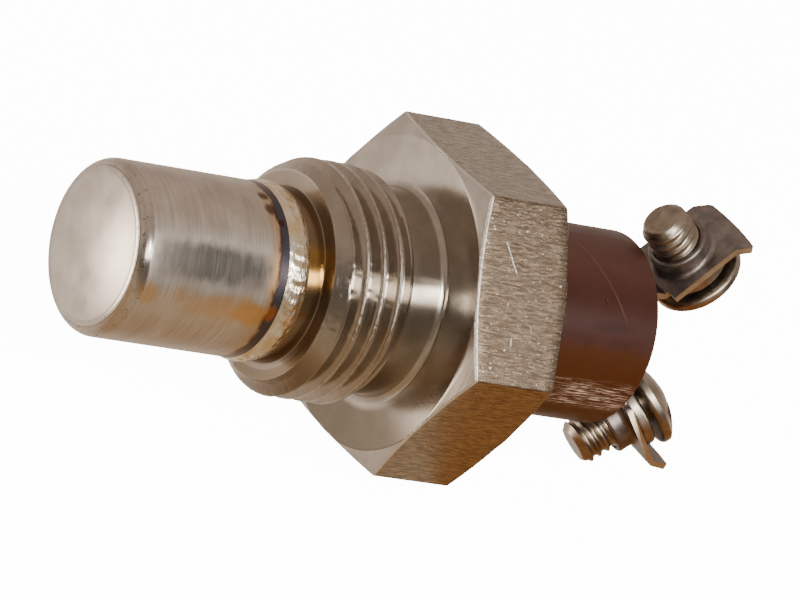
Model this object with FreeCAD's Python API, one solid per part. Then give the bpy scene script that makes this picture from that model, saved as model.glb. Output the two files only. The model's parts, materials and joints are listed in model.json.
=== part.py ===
import FreeCAD, Part
import math
import os

# Temperature switch: a stainless probe and threaded hexagon body, a moulded header with two
# screw terminals, and the snap disc, transfer pin and contacts inside.
# Millimetres. X runs along the axis from the probe tip to the terminals, Z from the lower
# terminal to the upper one. The origin is on the axis, in the plane of the hexagon's seat face.

V = FreeCAD.Vector
X_AXIS = V(1, 0, 0)
ORIGIN = V(0, 0, 0)

# Fits
seat_gap = 0.02            # between pieces that bear on each other
slip_gap = 0.05            # radial, between pieces that slide or turn
assembly_gap = 0.07        # radial, between pieces dropped into a bore

# Probe
probe_radius = 6.95
probe_wall = 0.60
probe_end_wall = 0.62
probe_length = 27.72       # from the seat face to the crown of the end
probe_end_crown = 0.20     # how far the end face is domed
probe_end_fillet = 1.15
probe_inner_fillet = 0.30
weld_offset = 13.0         # seat face to the middle of the weld
weld_half_width = 0.95
weld_crown = 0.20
weld_root = 0.35
weld_joint_gap = 0.02

# Thread, 3/4-16 UNF
thread_radius = 9.525
thread_pitch = 1.5875
thread_turns = 4
thread_last_crest = 5.08   # seat face to the last full crest
thread_crest_flat = 0.198
thread_flank_deg = 30.0
thread_end = 10.60         # seat face to the thread's front face
thread_start_depth = 1.225  # how far the start chamfer goes in at the front face
thread_start_deg = 45.0
runout_crest = 3.50        # seat face to the shallow last ridge
runout_height = 0.18
relief_radius = 8.30
relief_fillet = 0.62
collar_fillet = 0.14

# Hexagon, 1 inch
hex_across_flats = 25.20
hex_length = 8.68
hex_turned_radius = 12.50
hex_chamfer_deg = 17.4     # slope of the turned ends, half way out
hex_clocking_deg = -2.0    # the flats against the line of the terminals

# Header and its seat in the body
header_radius = 7.87
header_end = 21.76         # seat face to the header's rear face
header_edge = 0.25
flange_radius = 8.90
flange_front = 5.20
flange_length = 2.70
lip_radius_gap = 0.14      # rolled lip to header
gasket_thickness = 0.60
gasket_inner_radius = 7.55
skirt_radius = 7.25
skirt_wall = 1.05
chamber_depth = 11.0       # skirt mouth to chamber floor

# Snap disc and the parts that hold it
disc_clearance = 0.25      # disc to the cup's bore
disc_thickness = 0.25
disc_bow = 0.20
disc_seat_land = 1.15
disc_seat_length = 1.10
sleeve_wall = 0.63
guide_flange = 1.38
guide_stem = 7.60
guide_nose = 4.0
guide_nose_radius = 2.60

# Transfer pin and contacts
pin_radius = 1.0
pin_travel = 0.35
pin_end_radius = 1.6
arm_face = 6.90            # seat face to the arm's front face
arm_thickness = 0.20
arm_root_width = 4.0
arm_tip_width = 2.9
arm_root_gap = 0.08
contact_radius = 1.10
contact_height = 0.60
contact_shank = 0.55
contact_rivet_radius = 0.85
contact_rivet_height = 0.20
contact_line = 2.40        # axis to the contacts' line
contact_margin = 0.03
arm_tip_margin = 0.35
foot_reach = 2.40          # axis to the end of the lower terminal's foot
strip_margin = 0.45

# Terminals
tab_thickness = 0.50
tab_width = 7.12
leg_width = 5.0
leg_offset = 4.72          # axis to the middle of a leg
leg_rise = 2.80            # header's rear face to the bend
bend_radius = 0.55         # to the middle of the sheet
tab_start = 0.45           # bend to where the leg widens into the tab
tab_length = 6.66          # leg bend to ear bend
ear_length = 1.95
ear_deg = 39.0
ear_corner = 0.40
ear_bow = 0.28             # how far the ear's free end is arched
hole_from_bend = 3.53
upper_tilt_deg = 35.8
lower_tilt_deg = 45.5
upper_side_shift = -0.10   # the tabs stand a little off the middle plane
lower_side_shift = -0.80
hole_collar_wall = 0.42
hole_collar_height = 1.45
hole_collar_fillet = 0.40

# Terminal screws, 8-32 by 1/4 inch, with captive washers
screw_radius = 2.08
screw_length = 6.40
screw_point = 0.60
screw_head_radius = 3.88
screw_head_height = 2.20
screw_head_rim = 0.75
screw_slot_width = 1.15
screw_slot_depth = 1.05
washer_radius = 3.30
washer_thickness = 1.10
washer_round = 0.30
head_gap = 0.40            # washer to head, as the screws stand

# Derived places along the axis
weld_x = -weld_offset
probe_tip = -probe_length
cup_inside_end = probe_tip + probe_end_crown + probe_end_wall
bore_radius = probe_radius - probe_wall
sleeve_radius = bore_radius - assembly_gap
disc_radius = bore_radius - disc_clearance
thread_end_radius = thread_radius - thread_start_depth
hex_corner_radius = hex_across_flats / math.sqrt(3)
sleeve_bore = sleeve_radius - sleeve_wall
skirt_bore = skirt_radius + assembly_gap
header_front = 0.0
chamber_radius = skirt_radius - skirt_wall
chamber_floor = header_front + chamber_depth
guide_rear = header_front - seat_gap
guide_front = guide_rear - guide_flange
shoulder_x = guide_front - seat_gap
disc_crown = cup_inside_end + seat_gap
disc_rim = disc_crown + disc_bow
disc_seat_front = disc_rim + disc_thickness + seat_gap
disc_seat_rear = disc_seat_front + disc_seat_length
sleeve_front = disc_seat_rear + seat_gap
sleeve_rear = guide_front - seat_gap
pin_front = disc_crown + disc_thickness + seat_gap
pin_rear = arm_face - seat_gap
pin_bore = pin_radius + slip_gap
arm_rear = arm_face + arm_thickness
arm_root_z = -(leg_offset - bend_radius) + arm_root_gap
arm_tip_z = contact_line + contact_radius + arm_tip_margin
arm_angle = pin_travel / -arm_root_z
contact_travel = (contact_line + contact_radius - arm_root_z) * math.sin(arm_angle)
fixed_contact_face = arm_rear + contact_height + contact_travel + contact_margin
strip_front = fixed_contact_face + contact_height
flange_rear = flange_front + flange_length
gasket_front = flange_front - seat_gap - gasket_thickness
flange_floor = gasket_front - seat_gap
flange_bore = flange_radius + assembly_gap
lip_front = flange_rear + seat_gap
lip_radius = header_radius + lip_radius_gap
tab_bend_x = header_end + leg_rise
hole_radius = screw_radius + slip_gap
under_head = tab_thickness / 2 + seat_gap + washer_thickness + head_gap


def revolved(points):
    """Solid of revolution about X from (x, r) corners; a four-item entry is an arc's end and middle."""
    edges = []
    start = V(points[0][0], 0, points[0][1])
    for entry in points[1:] + [points[0]]:
        end = V(entry[0], 0, entry[1])
        if len(entry) == 4:
            middle = V(entry[2], 0, entry[3])
            edges.append(Part.Arc(start, middle, end).toShape())
        else:
            edges.append(Part.LineSegment(start, end).toShape())
        start = end
    return Part.Face(Part.Wire(edges)).revolve(ORIGIN, X_AXIS, 360)


def fillet_arc(centre, radius, from_deg, to_deg):
    """End and middle of an arc about centre, as an entry for revolved."""
    middle = math.radians((from_deg + to_deg) / 2)
    end = math.radians(to_deg)
    return (centre[0] + radius * math.cos(end), centre[1] + radius * math.sin(end),
            centre[0] + radius * math.cos(middle), centre[1] + radius * math.sin(middle))


def crown_arc(crown_x, rim_x, rim_radius, from_rim=False):
    """Arc of a sphere centred on X between its crown and its rim, as an entry for revolved."""
    rise = abs(rim_x - crown_x)
    towards = 1 if rim_x > crown_x else -1
    sphere = (rim_radius ** 2 + rise ** 2) / (2 * rise)
    middle_r = rim_radius / 2
    middle_x = crown_x + towards * (sphere - math.sqrt(sphere ** 2 - middle_r ** 2))
    if from_rim:
        return (crown_x, 0, middle_x, middle_r)
    return (rim_x, rim_radius, middle_x, middle_r)


def single(shape):
    """The one solid of a shape, with its split faces joined."""
    clean = shape.removeSplitter()
    if len(clean.Solids) != 1:
        raise ValueError("expected one solid, found %d" % len(clean.Solids))
    return clean.Solids[0]


def tube(front, rear, outer, inner):
    return revolved([(front, inner), (front, outer), (rear, outer), (rear, inner)])


def thread_outline():
    """(x, r) corners of the ridges, from the thread's front face to the relief.

    The start chamfer cuts the first ridge down to where it meets that ridge's rear flank.
    """
    depth = 0.61343 * thread_pitch
    root = thread_radius - depth
    flank = depth * math.tan(math.radians(thread_flank_deg))
    half = thread_crest_flat / 2
    crests = [-thread_last_crest - thread_pitch * k for k in range(thread_turns)]
    crests.reverse()
    rear = crests[0] + half
    rise = math.tan(math.radians(thread_start_deg))
    fall = depth / flank
    peak = (thread_radius - thread_end_radius + fall * rear - rise * thread_end) / (rise + fall)
    points = [(-thread_end, thread_end_radius), (peak, thread_radius - fall * (peak - rear)),
              (rear + flank, root)]
    for crest in crests[1:]:
        points.append((crest - half - flank, root))
        points.append((crest - half, thread_radius))
        points.append((crest + half, thread_radius))
        points.append((crest + half + flank, root))
    ridge = -runout_crest
    points.append((ridge - half - runout_height, root))
    points.append((ridge - half, root + runout_height))
    points.append((ridge + half, root + runout_height))
    points.append((ridge + half + root + runout_height - relief_radius, relief_radius))
    return points


def chamfer_drop(radius):
    """How far the hexagon's turned, slightly ball-shaped chamfer has fallen from the face at a radius."""
    half_way = (hex_turned_radius + hex_corner_radius) / 2
    ball = half_way / math.sin(math.radians(hex_chamfer_deg))
    return math.sqrt(ball ** 2 - hex_turned_radius ** 2) - math.sqrt(ball ** 2 - radius ** 2)


def hexagon_block():
    """The hexagon with a turned chamfer on both faces."""
    first = hex_clocking_deg + 90 + 30
    angles = [math.radians(first + 60 * k) for k in range(7)]
    ring = [V(0, hex_corner_radius * math.cos(a), hex_corner_radius * math.sin(a)) for a in angles]
    prism = Part.Face(Part.makePolygon(ring)).extrude(V(hex_length, 0, 0))
    beyond = hex_corner_radius + 1.0
    half_way = (hex_turned_radius + beyond) / 2
    drop = chamfer_drop(beyond)
    turned = revolved([
        (0, 0), (0, hex_turned_radius), (drop, beyond, chamfer_drop(half_way), half_way),
        (hex_length - drop, beyond),
        (hex_length, hex_turned_radius, hex_length - chamfer_drop(half_way), half_way), (hex_length, 0)])
    return prism.common(turned)


def make_body():
    front = weld_x + weld_joint_gap
    inside = hex_length / 2
    stem = [(front, 1.0), (front, probe_radius - weld_root), (front + weld_root, probe_radius),
            (-thread_end - collar_fillet, probe_radius)]
    stem.append(fillet_arc((-thread_end - collar_fillet, probe_radius + collar_fillet),
                           collar_fillet, -90, 0))
    stem += thread_outline()
    stem.append((-relief_fillet, relief_radius))
    stem.append(fillet_arc((-relief_fillet, relief_radius + relief_fillet), relief_fillet, -90, 0))
    stem += [(inside, relief_radius + relief_fillet), (inside, 1.0)]
    solid = revolved(stem).fuse(hexagon_block())
    past = hex_length + 1.0
    bore = revolved([(front - 1.0, 0), (front - 1.0, bore_radius), (shoulder_x, bore_radius),
                     (shoulder_x, skirt_bore), (flange_floor, skirt_bore), (flange_floor, flange_bore),
                     (lip_front, flange_bore), (lip_front, lip_radius), (past, lip_radius), (past, 0)])
    return single(solid.cut(bore))


def make_sensing_cup():
    rear = weld_x - weld_joint_gap
    rim = probe_tip + probe_end_crown
    flat = probe_radius - probe_end_fillet
    outer = [(probe_tip, 0), crown_arc(probe_tip, rim, flat)]
    outer.append(fillet_arc((rim + probe_end_fillet, flat), probe_end_fillet, 180, 90))
    outer += [(rear - weld_root, probe_radius), (rear, probe_radius - weld_root),
              (rear, bore_radius), (cup_inside_end + probe_inner_fillet, bore_radius)]
    outer.append(fillet_arc((cup_inside_end + probe_inner_fillet, bore_radius - probe_inner_fillet),
                            probe_inner_fillet, 90, 180))
    outer.append((cup_inside_end, 0))
    return single(revolved(outer))


def make_weld_bead():
    rise = probe_radius + weld_crown
    bead = [(weld_x - weld_half_width, probe_radius),
            (weld_x - weld_joint_gap - weld_root, probe_radius),
            (weld_x - weld_joint_gap, probe_radius - weld_root),
            (weld_x + weld_joint_gap, probe_radius - weld_root),
            (weld_x + weld_joint_gap + weld_root, probe_radius),
            (weld_x + weld_half_width, probe_radius)]
    edges = [Part.LineSegment(V(a[0], 0, a[1]), V(b[0], 0, b[1])).toShape()
             for a, b in zip(bead, bead[1:])]
    last = V(bead[-1][0], 0, bead[-1][1])
    first = V(bead[0][0], 0, bead[0][1])
    edges.append(Part.Arc(last, V(weld_x, 0, rise), first).toShape())
    return single(Part.Face(Part.Wire(edges)).revolve(ORIGIN, X_AXIS, 360))


def make_bimetal_disc():
    """A shallow domed disc, crowned towards the probe tip at rest."""
    return single(revolved([
        (disc_crown, 0), crown_arc(disc_crown, disc_rim, disc_radius),
        (disc_rim + disc_thickness, disc_radius),
        crown_arc(disc_crown + disc_thickness, disc_rim + disc_thickness, disc_radius, from_rim=True)]))


def make_disc_seat():
    inner = sleeve_radius - disc_seat_land
    relief = disc_seat_land / 2
    return single(revolved([
        (disc_seat_front, sleeve_radius), (disc_seat_rear, sleeve_radius), (disc_seat_rear, inner),
        (disc_seat_front + relief, inner), (disc_seat_front, inner + relief)]))


def make_pin_guide():
    stem_radius = sleeve_bore - slip_gap
    stem_front = guide_front - guide_stem
    bevel = 0.4
    nose = guide_rear + guide_nose
    return single(revolved([
        (stem_front, pin_bore), (stem_front, stem_radius - bevel), (stem_front + bevel, stem_radius),
        (guide_front, stem_radius), (guide_front, skirt_radius), (guide_rear, skirt_radius),
        (guide_rear, guide_nose_radius), (nose - bevel, guide_nose_radius),
        (nose, guide_nose_radius - bevel), (nose, pin_bore)]))


def make_transfer_pin():
    """A straight pin with a spherical crown on each end."""
    crown = pin_end_radius - math.sqrt(pin_end_radius ** 2 - pin_radius ** 2)
    return single(revolved([
        (pin_front, 0), crown_arc(pin_front, pin_front + crown, pin_radius),
        (pin_rear - crown, pin_radius), crown_arc(pin_rear, pin_rear - crown, pin_radius, from_rim=True)]))


def make_gasket():
    return single(tube(gasket_front, gasket_front + gasket_thickness, flange_radius, gasket_inner_radius))


def make_header():
    outer = [(header_front, 0), (header_front, skirt_radius), (flange_front, skirt_radius),
             (flange_front, flange_radius), (flange_rear, flange_radius), (flange_rear, header_radius),
             (header_end - header_edge, header_radius), (header_end, header_radius - header_edge),
             (header_end, 0)]
    chamber = revolved([(header_front - 1.0, 0), (header_front - 1.0, chamber_radius),
                        (chamber_floor, chamber_radius), (chamber_floor, 0)])
    solid = revolved(outer).cut(chamber)
    length = header_end - chamber_floor + 2.0
    for side, shift in ((1, upper_side_shift), (-1, lower_side_shift)):
        wide = leg_width + 2 * slip_gap
        thick = tab_thickness + 2 * slip_gap
        slot = Part.makeBox(length, wide, thick,
                            V(chamber_floor - 1.0, shift - wide / 2, side * leg_offset - thick / 2))
        solid = solid.cut(slot)
    return single(solid)


def strip(points, width, shift):
    """Sheet bent along (x, z) points, with its middle on them, width along Y about shift."""
    path = [V(p[0], 0, p[1]) for p in points]
    half = tab_thickness / 2
    sides = []
    for sign in (1, -1):
        edges = []
        start = None
        for k in range(len(path) - 1):
            along = path[k + 1].sub(path[k]).normalize()
            normal = V(-along.z, 0, along.x) * (half * sign)
            if start is None:
                start = path[k] + normal
            if k + 2 == len(path):
                end = path[k + 1] + normal
                edges.append(Part.LineSegment(start, end).toShape())
                start = end
                continue
            after = path[k + 2].sub(path[k + 1]).normalize()
            turn = math.acos(max(-1.0, min(1.0, along.dot(after))))
            back = bend_radius * math.tan(turn / 2)
            entry = path[k + 1] - along * back
            leave = path[k + 1] + after * back
            towards = (after - along).normalize()
            centre = path[k + 1] + towards * (bend_radius / math.cos(turn / 2))
            next_normal = V(-after.z, 0, after.x) * (half * sign)
            first = entry + normal
            last = leave + next_normal
            edges.append(Part.LineSegment(start, first).toShape())
            reach = first.sub(centre).Length
            edges.append(Part.Arc(first, centre - towards * reach, last).toShape())
            start = last
        sides.append(edges)
    left, right = sides
    first_gap = Part.LineSegment(right[0].Vertexes[0].Point, left[0].Vertexes[0].Point).toShape()
    last_gap = Part.LineSegment(left[-1].Vertexes[-1].Point, right[-1].Vertexes[-1].Point).toShape()
    outline = Part.Wire(Part.__sortEdges__(left + [last_gap] + right + [first_gap]))
    sheet = Part.Face(outline).extrude(V(0, width, 0))
    sheet.translate(V(0, shift - width / 2, 0))
    return sheet


class TabPlace:
    """Where one tab stands: side is 1 for the upper tab and -1 for the lower."""

    def __init__(self, side, tilt_deg, shift):
        tilt = math.radians(tilt_deg)
        ear = math.radians(tilt_deg + ear_deg)
        self.side = side
        self.shift = shift
        self.out = V(math.sin(tilt), 0, side * math.cos(tilt))
        self.ear_out = V(math.sin(ear), 0, side * math.cos(ear))
        self.tipward = V(-math.cos(tilt), 0, side * math.sin(tilt))
        self.bend = V(tab_bend_x, 0, side * leg_offset)
        self.ear_bend = self.bend + self.out * tab_length
        self.end = self.ear_bend + self.ear_out * ear_length
        self.hole = self.bend + self.out * hole_from_bend + V(0, shift, 0)

    def along_screw(self, distance):
        return self.hole + self.tipward * distance


upper = TabPlace(1, upper_tilt_deg, upper_side_shift)
lower = TabPlace(-1, lower_tilt_deg, lower_side_shift)


def round_ear(sheet, place):
    """Arch the ear's free end and round its two corners."""
    half = tab_width / 2
    arch = (half ** 2 + ear_bow ** 2) / (2 * ear_bow)
    through = V(-place.ear_out.z, 0, place.ear_out.x)
    crown = place.end + V(0, place.shift, 0)
    start = crown - place.ear_out * arch - through * tab_thickness
    within = Part.makeCylinder(arch, 2 * tab_thickness, start, through)
    corner = crown - place.ear_out * (2 * ear_bow) - through * tab_thickness
    ends = [corner - V(0, tab_width, 0), corner + V(0, tab_width, 0)]
    beyond = place.ear_out * (4 * ear_bow)
    square = Part.Face(Part.makePolygon([ends[0], ends[1], ends[1] + beyond, ends[0] + beyond, ends[0]]))
    arched = sheet.cut(square.extrude(through * (2 * tab_thickness)).cut(within))
    corners = []
    for edge in arched.Edges:
        middle = edge.CenterOfMass
        along = V(middle.x, 0, middle.z).sub(place.end).dot(place.ear_out)
        at_side = abs(abs(middle.y - place.shift) - half) < 0.01
        if at_side and abs(along + ear_bow) < 0.02:
            corners.append(edge)
    return arched.makeFillet(ear_corner, corners)


def make_terminal(place, inside):
    """One stamping: contact end in the header, leg, tab with an extruded hole, and bent ear."""
    start = place.bend + place.out * tab_start
    past = start + place.out * tab_thickness
    wide = strip([(start.x, start.z), (place.ear_bend.x, place.ear_bend.z), (place.end.x, place.end.z)],
                 tab_width, place.shift)
    narrow = strip(inside + [(place.bend.x, place.bend.z), (past.x, past.z)], leg_width, place.shift)
    sheet = single(round_ear(wide, place).fuse(narrow))
    collar_radius = hole_radius + hole_collar_wall
    collar = Part.makeCylinder(collar_radius, hole_collar_height, place.along_screw(tab_thickness / 2),
                               place.tipward)
    sheet = sheet.fuse(collar)
    sheet = soften_collar(sheet, place, collar_radius)
    hole = Part.makeCylinder(hole_radius, hole_collar_height + tab_thickness + 2.0,
                             place.along_screw(-tab_thickness / 2 - 1.0), place.tipward)
    return single(sheet.cut(hole))


def soften_collar(sheet, place, radius):
    """Fillet the collar's foot on the tab and round its mouth."""
    foot = place.along_screw(tab_thickness / 2)
    mouth = place.along_screw(tab_thickness / 2 + hole_collar_height)
    shape = sheet
    for centre, size in ((mouth, hole_collar_fillet * 0.6), (foot, hole_collar_fillet)):
        for edge in shape.Edges:
            curve = edge.Curve
            if curve.TypeId != "Part::GeomCircle":
                continue
            if abs(curve.Radius - radius) < 0.01 and curve.Center.sub(centre).Length < 0.01:
                shape = shape.makeFillet(size, [edge])
                break
    return shape


def make_upper_terminal():
    middle = strip_front + tab_thickness / 2
    end = contact_line - contact_radius - strip_margin
    sheet = make_terminal(upper, [(middle, end), (middle, leg_offset)])
    rivet = Part.makeCylinder(contact_shank + seat_gap, tab_thickness + 2.0,
                              V(strip_front - 1.0, 0, contact_line), X_AXIS)
    return single(sheet.cut(rivet))


def make_lower_terminal():
    middle = arm_face - tab_thickness / 2
    return make_terminal(lower, [(middle, -foot_reach), (middle, -leg_offset)])


def make_contact_arm():
    """Spring blade welded to the lower terminal's foot, narrowing to a round end."""
    root = arm_root_width / 2
    tip = arm_tip_width / 2
    shoulder = arm_tip_z - tip
    corners = [V(arm_face, -root, arm_root_z), V(arm_face, root, arm_root_z),
               V(arm_face, root, -foot_reach), V(arm_face, tip, 0), V(arm_face, tip, shoulder)]
    edges = [Part.LineSegment(a, b).toShape() for a, b in zip(corners, corners[1:])]
    far = V(arm_face, -tip, shoulder)
    edges.append(Part.Arc(corners[-1], V(arm_face, 0, arm_tip_z), far).toShape())
    others = [far, V(arm_face, -tip, 0), V(arm_face, -root, -foot_reach), corners[0]]
    edges += [Part.LineSegment(a, b).toShape() for a, b in zip(others, others[1:])]
    blade = Part.Face(Part.Wire(edges)).extrude(V(arm_thickness, 0, 0))
    hole = Part.makeCylinder(contact_shank + seat_gap, arm_thickness + 2.0,
                             V(arm_face - 1.0, 0, contact_line), X_AXIS)
    return single(blade.cut(hole))


def rivet_contact(face, seat, sheet, towards):
    """Contact rivet along X: face to seat is its head, then a shank through the sheet and a peened end."""
    bevel = 0.15
    far = seat + towards * (sheet + seat_gap)
    end = far + towards * contact_rivet_height
    near = seat - towards * seat_gap
    profile = [(face, 0), (face, contact_radius - bevel), (face + towards * bevel, contact_radius),
               (near, contact_radius), (near, contact_shank), (far, contact_shank),
               (far, contact_rivet_radius), (end, contact_rivet_radius - bevel / 2), (end, 0)]
    contact = revolved(profile)
    contact.translate(V(0, 0, contact_line))
    return single(contact)


def make_moving_contact():
    return rivet_contact(arm_rear + contact_height, arm_rear, arm_thickness, -1)


def make_fixed_contact():
    return rivet_contact(fixed_contact_face, strip_front, tab_thickness, 1)


def on_screw_axis(shape, place):
    """Move a shape made along +X, tip forward, onto a tab's screw axis."""
    turn = FreeCAD.Rotation(X_AXIS, place.tipward)
    moved = shape.copy()
    moved.Placement = FreeCAD.Placement(place.hole, turn).multiply(moved.Placement)
    return moved


def make_screw(place):
    """Slotted round-head screw; its thread is plain at the crests' radius."""
    seat = -under_head
    tip = seat + screw_length
    top = seat - screw_head_height
    rim = seat - screw_head_rim
    screw = revolved([
        (tip, 0), (tip, screw_radius - screw_point), (tip - screw_point, screw_radius),
        (seat, screw_radius), (seat, screw_head_radius), (rim, screw_head_radius),
        crown_arc(top, rim, screw_head_radius, from_rim=True)])
    slot = Part.makeBox(screw_slot_depth + 1.0, 4 * screw_head_radius, screw_slot_width,
                        V(top - 1.0, -2 * screw_head_radius, -screw_slot_width / 2))
    return on_screw_axis(single(screw.cut(slot)), place)


def make_washer(place):
    """Captive washer with a rounded rim, on the tab's inner face."""
    rear = -(tab_thickness / 2 + seat_gap)
    front = rear - washer_thickness
    low = washer_radius - washer_round
    washer = [(front, hole_radius), (front, low)]
    washer.append(fillet_arc((front + washer_round, low), washer_round, 180, 90))
    washer.append((rear - washer_round, washer_radius))
    washer.append(fillet_arc((rear - washer_round, low), washer_round, 90, 0))
    washer.append((rear, hole_radius))
    return on_screw_axis(single(revolved(washer)), place)


def all_nodes():
    return {
        "body": make_body(),
        "sensing_cup": make_sensing_cup(),
        "weld_bead": make_weld_bead(),
        "bimetal_disc": make_bimetal_disc(),
        "disc_seat": make_disc_seat(),
        "spacer_sleeve": single(tube(sleeve_front, sleeve_rear, sleeve_radius, sleeve_bore)),
        "pin_guide": make_pin_guide(),
        "transfer_pin": make_transfer_pin(),
        "header": make_header(),
        "header_gasket": make_gasket(),
        "upper_terminal": make_upper_terminal(),
        "lower_terminal": make_lower_terminal(),
        "contact_arm": make_contact_arm(),
        "moving_contact": make_moving_contact(),
        "fixed_contact": make_fixed_contact(),
        "upper_screw": make_screw(upper),
        "lower_screw": make_screw(lower),
        "upper_washer": make_washer(upper),
        "lower_washer": make_washer(lower),
    }


os.makedirs("parts", exist_ok=True)
for name, solid in all_nodes().items():
    if not solid.isValid():
        raise ValueError("%s is not a valid solid" % name)
    solid.exportStep("parts/%s.step" % name)
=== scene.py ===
import json
import math

import bmesh
import bpy
import numpy as np
from mathutils import Matrix, Vector, noise


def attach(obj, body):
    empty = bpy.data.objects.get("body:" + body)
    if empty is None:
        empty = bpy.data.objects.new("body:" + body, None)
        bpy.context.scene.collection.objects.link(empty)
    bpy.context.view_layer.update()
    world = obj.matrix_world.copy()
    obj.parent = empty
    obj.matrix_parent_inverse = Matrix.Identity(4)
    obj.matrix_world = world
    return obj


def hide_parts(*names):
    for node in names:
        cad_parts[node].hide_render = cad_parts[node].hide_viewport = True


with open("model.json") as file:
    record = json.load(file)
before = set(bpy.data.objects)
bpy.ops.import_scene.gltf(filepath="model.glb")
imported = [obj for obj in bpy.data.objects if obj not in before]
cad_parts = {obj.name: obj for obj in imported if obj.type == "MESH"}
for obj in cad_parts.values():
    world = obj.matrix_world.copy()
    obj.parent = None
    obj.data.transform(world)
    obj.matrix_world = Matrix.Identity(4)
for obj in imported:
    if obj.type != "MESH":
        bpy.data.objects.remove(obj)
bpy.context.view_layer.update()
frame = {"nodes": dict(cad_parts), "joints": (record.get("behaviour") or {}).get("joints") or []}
mm = 0.001


# Meshes

def finishMesh(mesh, sharpDeg):  # weld doubles, turn faces outwards, keep creases sharp
    work = bmesh.new()
    work.from_mesh(mesh)
    bmesh.ops.remove_doubles(work, verts=work.verts, dist=2e-8)
    bmesh.ops.dissolve_degenerate(work, edges=work.edges, dist=1e-9)
    bmesh.ops.recalc_face_normals(work, faces=work.faces)
    work.to_mesh(mesh)
    work.free()
    mesh.shade_smooth()
    mesh.set_sharp_from_angle(angle=math.radians(sharpDeg))


def placed(name, data):  # a new object at the origin
    made = bpy.data.objects.new(name, data)
    bpy.context.scene.collection.objects.link(made)
    return made


def gridObject(name, rows, closed, sharpDeg):  # rows of points, each going once round the axis
    points = np.concatenate(rows) * mm
    count, around = len(rows), len(rows[0])
    faces = []
    for i in range(count if closed else count - 1):
        here, after = i * around, ((i + 1) % count) * around
        for j in range(around - 1):
            faces.append((here + j, here + j + 1, after + j + 1, after + j))
    mesh = bpy.data.meshes.new(name)
    mesh.from_pydata(points.tolist(), [], faces)
    finishMesh(mesh, sharpDeg)
    return placed(name, mesh)


def ringOf(angles, x, radius):  # one row about the X axis, from straight up towards minus Y
    x = np.broadcast_to(np.asarray(x, float), angles.shape)
    return np.stack([x, -radius * np.sin(angles), radius * np.cos(angles)], axis=1)


def softMin(a, b, width):  # the smaller of two, rounded where they meet
    return -width * np.logaddexp(-a / width, -b / width)


def standsFor(made, node, body):  # in place of a node, on the node's body
    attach(made, body)
    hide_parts(node)


def copyOf(node, name, sharpDeg):  # a node's mesh with its doubles welded
    mesh = frame["nodes"][node].data.copy()
    mesh.name = name
    if mesh.has_custom_normals:
        mesh.normals_split_custom_set([(0, 0, 0)] * len(mesh.loops))
    finishMesh(mesh, sharpDeg)
    return placed(name, mesh)


# Materials

def paint(red, green, blue):  # 8-bit screen colour to a linear one
    def linear(value):
        share = value / 255
        return share / 12.92 if share <= 0.04045 else ((share + 0.055) / 1.055) ** 2.4
    return (linear(red), linear(green), linear(blue), 1.0)


def paints(settings):  # a piece's colours, ready for its material
    return {name: paint(*color) for name, color in settings["colors"].items()}


class NodeWriter:  # short ways to add nodes to a tree
    def __init__(self, tree):
        self.tree = tree

    def put(self, socket, value):
        if isinstance(value, bpy.types.NodeSocket):
            self.tree.links.new(value, socket)
        elif value is not None:
            socket.default_value = value

    def node(self, kind, settings=(), **inputs):
        made = self.tree.nodes.new(kind)
        for key, value in dict(settings).items():
            setattr(made, key, value)
        for key, value in inputs.items():
            self.put(made.inputs[key.replace("_", " ")], value)
        return made

    def math(self, operation, first, second=None, third=None):
        made = self.node("ShaderNodeMath", {"operation": operation})
        for socket, value in zip(made.inputs, (first, second, third)):
            self.put(socket, value)
        return made.outputs[0]

    def plus(self, *values):
        total = values[0]
        for value in values[1:]:
            total = self.math("ADD", total, value)
        return total

    def less(self, first, second):
        return self.math("SUBTRACT", first, second)

    def times(self, *values):
        total = values[0]
        for value in values[1:]:
            total = self.math("MULTIPLY", total, value)
        return total

    def joined(self, x, y, z):
        return self.node("ShaderNodeCombineXYZ", X=x, Y=y, Z=z).outputs[0]

    def vector(self, operation, first, second):
        made = self.node("ShaderNodeVectorMath", {"operation": operation})
        self.put(made.inputs[0], first)
        self.put(made.inputs[1], second)
        return made.outputs

    def ramp(self, value, low, high, start=0.0, end=1.0):  # start below low, end above high
        made = self.node("ShaderNodeMapRange", {"interpolation_type": "SMOOTHSTEP"}, Value=value,
                         From_Min=low, From_Max=high, To_Min=start, To_Max=end)
        return made.outputs["Result"]


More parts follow.
